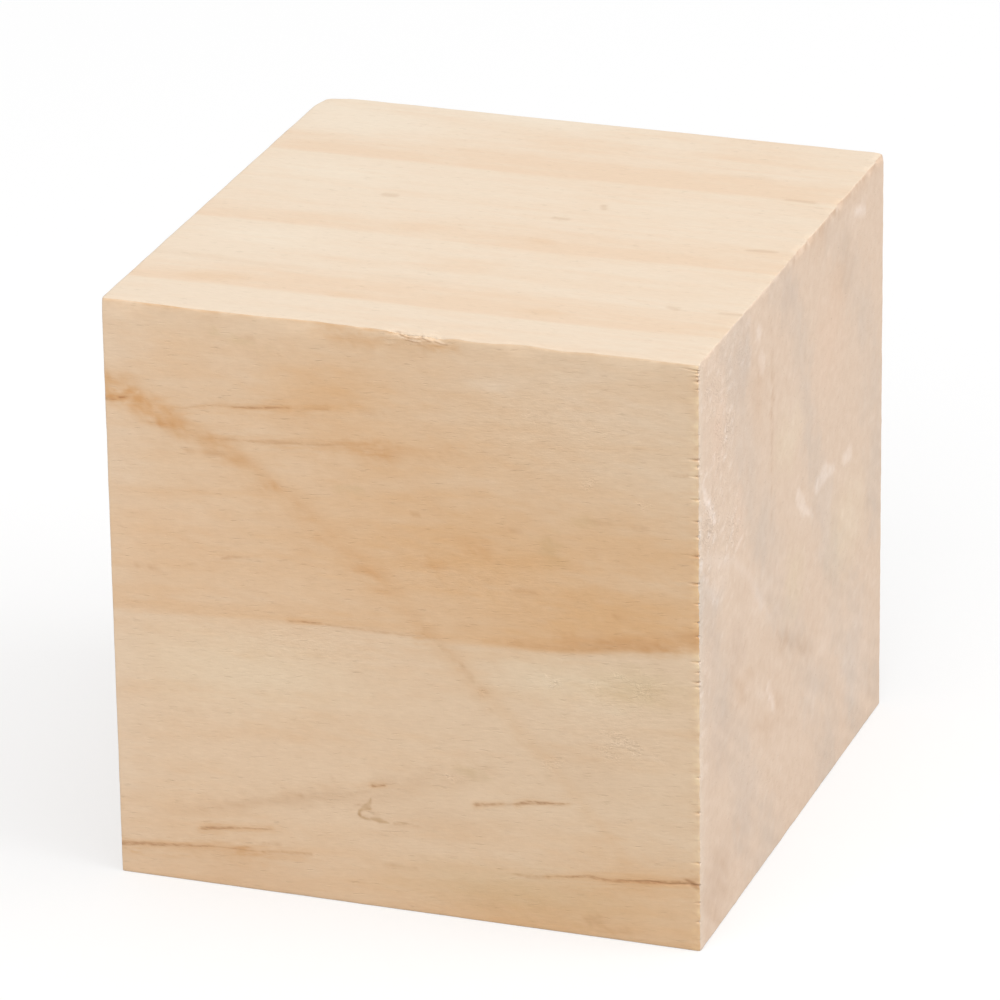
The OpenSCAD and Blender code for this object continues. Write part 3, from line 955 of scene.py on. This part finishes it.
# Noises of the fine texture: scale on X, Y and Z, detail, roughness and shift
PLANED_FINE = ((1.1, 4.0, 4.0), 1.5, 0.7)
SAWN_FINE_MARKS = ((3.0, 1.0, 3.0), 1.5, 0.7)
PLANED_GRIT = ((2.6, 2.0, 5.0), 1.0, 0.5, 9.0)
SAWN_GRIT = ((2.0, 3.6, 2.4), 1.0, 0.5, 9.0)
PORES = ((0.8, 2.5, 5.5), 2.0, 0.6, 27.0)

# Their strengths; a pair is for planed and for sawn wood
SAWN_SHARE, SAWN_GRIT_SHARE = 0.45, 0.75
NAPPED = (2.4, 1.2)  # how much stronger it gets where fibres stand up
FIBRE_FINE, FIBRE_HIGHLIGHT, FIBRE_LIGHT_AND_SHADE = -12.0, 1.5, 2.4  # how thin standing fibres are, and the strength of their painted highlights and shade
PORE_LIMIT, PORE_DEPTH = 0.12, (-6.0, -3.0)
TEXTURE_TINT = (0.10, 0.11, 0.13)
RELIEF = (0.02, 0.05)
ROUGHNESS = (0.6, 0.85)


class Shader:
    """Adds nodes to a material or a world."""

    def __init__(self, owner):
        owner.use_nodes = True
        owner.node_tree.nodes.clear()
        self.owner, self.tree = owner, owner.node_tree

    def node(self, kind, *values, **settings):
        made = self.tree.nodes.new("ShaderNode" + kind)
        for key, setting in settings.items():
            setattr(made, key, setting)
        for socket, value in zip(made.inputs, values):
            self.feed(socket, value)
        return made

    def feed(self, socket, value):
        if isinstance(value, bpy.types.NodeSocket):
            self.tree.links.new(value, socket)
        elif value is not None:
            socket.default_value = value

    def seen(self):
        """1 for what is looked at, also in a shine, and 0 for what only sends light."""
        rays = self.node("LightPath").outputs
        by_shine = self.math("MAXIMUM", rays["Is Glossy Ray"], rays["Is Transmission Ray"])
        return self.math("MAXIMUM", rays["Is Camera Ray"], by_shine)

    def math(self, operation, *values):
        return self.node("Math", *values, operation=operation).outputs[0]

    def vector(self, operation, *values):
        return self.node("VectorMath", *values, operation=operation).outputs[0]

    def between(self, share, first, second):
        """Evenly from the first to the second as the share goes from 0 to 1."""
        numbers = isinstance(first, float)
        gap = second - first if numbers else self.math("SUBTRACT", second, first)
        return self.math("MULTIPLY_ADD", share, gap, first)

    def noise(self, place, scale, detail=2.0, rough=0.5, shift=0.0):
        """Noise mostly within a half of 0, at stretched places."""
        place = self.vector("MULTIPLY_ADD", place, scale, (shift, shift, shift))
        made = self.node("TexNoise", place, None, 1.0, detail, rough)
        return self.math("SUBTRACT", made.outputs[0], 0.5)

    def mix(self, share, first, second, blend="MIX"):
        made = self.node("Mix", share, data_type="RGBA", blend_type=blend)
        self.feed(made.inputs[6], first)
        self.feed(made.inputs[7], second)
        return made.outputs[2]


def fine_texture(s, place, end, fuzz):
    """Fibres, saw marks, pores and standing fibres, dark below 0 and pale above; on standing fibres that is
    painted highlight and shade, and relief in the bump.
    """
    planed = s.noise(place, *PLANED_FINE)
    sawn = s.math("MULTIPLY", s.noise(place, *SAWN_FINE_MARKS), SAWN_SHARE)
    nap = s.math("MULTIPLY", fuzz, s.between(end, *NAPPED))
    texture = s.math("MULTIPLY", s.between(end, planed, sawn), s.math("ADD", nap, 1.0))

    sawn_grit = s.math("MULTIPLY", s.noise(place, *SAWN_GRIT), SAWN_GRIT_SHARE)
    grit = s.between(end, s.noise(place, *PLANED_GRIT), sawn_grit)
    # painted highlights and shade of standing fibres: pale curls and dark specks, also raised in the bump
    fibre_shading = s.math("MULTIPLY_ADD", s.math("ABSOLUTE", grit), FIBRE_FINE, 1.0)
    fibre_shading = s.math("MULTIPLY", s.math("MAXIMUM", fibre_shading, 0.0), FIBRE_HIGHLIGHT)
    fibre_shading = s.math("MULTIPLY_ADD", grit, FIBRE_LIGHT_AND_SHADE, fibre_shading)
    texture = s.math("MULTIPLY_ADD", fibre_shading, s.math("MULTIPLY", fuzz, fuzz), texture)

    pores = s.math("SUBTRACT", s.noise(place, *PORES), PORE_LIMIT)
    pores = s.math("MULTIPLY", s.math("MAXIMUM", pores, 0.0), s.between(end, *PORE_DEPTH))
    return s.math("ADD", texture, pores)


def pine():
    """Bare pine: the mesh's colours under a fine texture, both with some painted light and shade."""
    s = Shader(bpy.data.materials.new("pine"))
    coords = s.node("TexCoord").outputs
    place = s.node("VectorMath", coords["Object"], operation="SCALE")
    place.inputs["Scale"].default_value = 1 / MM
    turned = s.node("VectorRotate", place.outputs[0], None, (0, 1, 0), GRAIN_RISE,
                    rotation_type="AXIS_ANGLE")
    facing = s.math("ABSOLUTE", s.node("SeparateXYZ", coords["Normal"]).outputs[0])
    end = s.node("MapRange", facing, *END_FACING, interpolation_type="SMOOTHSTEP", clamp=False).outputs[0]
    wood, fuzz = s.node("VertexColor", layer_name=WOOD).outputs
    texture = fine_texture(s, turned.outputs[0], end, fuzz)
    shade = s.vector("MULTIPLY_ADD", texture, TEXTURE_TINT, (1, 1, 1))
    bump = s.node("Bump")
    bump.inputs["Distance"].default_value = MM
    s.feed(bump.inputs["Height"], s.math("MULTIPLY", texture, s.between(end, *RELIEF)))
    bsdf = s.node("BsdfPrincipled")
    s.feed(bsdf.inputs["Base Color"], s.mix(1.0, wood, shade, "MULTIPLY"))
    s.feed(bsdf.inputs["Roughness"], s.between(end, *ROUGHNESS))
    s.feed(bsdf.inputs["Normal"], bump.outputs[0])
    s.node("OutputMaterial", bsdf.outputs[0])
    return s.owner


# ---- the studio

FLOOR_HALF = 3.0
FLOOR_SEEN = (0.95, 0.95, 0.95, 1)  # what the camera and the wood's sheen see
FLOOR_GLOW = 0.5  # share of plain white, which lightens the shadow
FLOOR_BOUNCE = (0.5, 0.5, 0.5, 1)  # what it sends back up as light
AMBIENT = 0.60
SOFTBOX_SIZE = 1.2
SOFTBOXES = (  # place and power: before the front, past the right end and overhead
    ((-0.1, -1.2, 0.77), 6.6), ((1.2, 0.1, 0.77), 8.3), ((0.3, -0.3, 1.4), 5.2),
)

VIEW_AZIMUTH = math.radians(19.459)
VIEW_ELEVATION = math.radians(22.488)
VIEW_ROLL = math.radians(-0.822)
VIEW_DISTANCE = 0.58345
VIEW_ASIDE = -0.00053
VIEW_ABOVE = 0.000735
LENS = 253.0
SENSOR = 36.0


def make_floor():
    """A pale floor that keeps the shadow, and is brighter to look at than as a light."""
    s = Shader(bpy.data.materials.new("pale_floor"))
    seen = s.seen()
    bsdf = s.node("BsdfDiffuse", s.mix(seen, FLOOR_BOUNCE, FLOOR_SEEN)).outputs[0]
    white = s.node("Emission", (1, 1, 1, 1), 1.0).outputs[0]
    glow = s.math("MULTIPLY", seen, FLOOR_GLOW)
    s.node("OutputMaterial", s.node("MixShader", glow, bsdf, white).outputs[0])
    mesh = bpy.data.meshes.new("floor")
    corners = [(x * FLOOR_HALF, y * FLOOR_HALF, 0) for x, y in ((-1, -1), (1, -1), (1, 1), (-1, 1))]
    mesh.from_pydata(corners, [], [(0, 1, 2, 3)])
    mesh.materials.append(s.owner)
    added("floor", mesh)


def make_world():
    """An even pale room, brighter to look at than as a light."""
    s = Shader(bpy.data.worlds.new("studio"))
    strength = s.node("MapRange", s.seen(), 0, 1, AMBIENT, 1).outputs[0]
    s.node("OutputWorld", s.node("Background", (1, 1, 1, 1), strength).outputs[0])
    bpy.context.scene.world = s.owner


def make_lights():
    """Large soft lamps, all turned towards the block's base."""
    for place, power in SOFTBOXES:
        lamp = bpy.data.lights.new("softbox", "AREA")
        lamp.shape = "SQUARE"
        lamp.size = SOFTBOX_SIZE
        lamp.energy = power
        light = added("softbox", lamp)
        light.location = place
        light.rotation_mode = "QUATERNION"
        light.rotation_quaternion = (-Vector(place)).to_track_quat("-Z", "Y")


def make_camera():
    """A long lens, looking down at the front and the right end."""
    level = math.cos(VIEW_ELEVATION)
    aside, before = math.sin(VIEW_AZIMUTH) * level, -math.cos(VIEW_AZIMUTH) * level
    back = Vector((aside, before, math.sin(VIEW_ELEVATION)))
    right = back.cross(Vector((0, 0, -1))).normalized()
    turned = Matrix.Rotation(VIEW_ROLL, 3, back)
    right, up = turned @ right, turned @ back.cross(right)
    centre = Vector(((LOW + HIGH) / 2 * MM).tolist())
    place = centre + back * VIEW_DISTANCE + right * VIEW_ASIDE + up * VIEW_ABOVE
    camera = added("camera", bpy.data.cameras.new("camera"))
    camera.data.lens = LENS
    camera.data.sensor_width = SENSOR
    camera.matrix_world = Matrix.Translation(place) @ Matrix((right, up, back)).transposed().to_4x4()
    bpy.context.scene.camera = camera


make_block(pine())
make_floor()
make_world()
make_lights()
make_camera()
bpy.context.scene.view_settings.view_transform = "Standard"
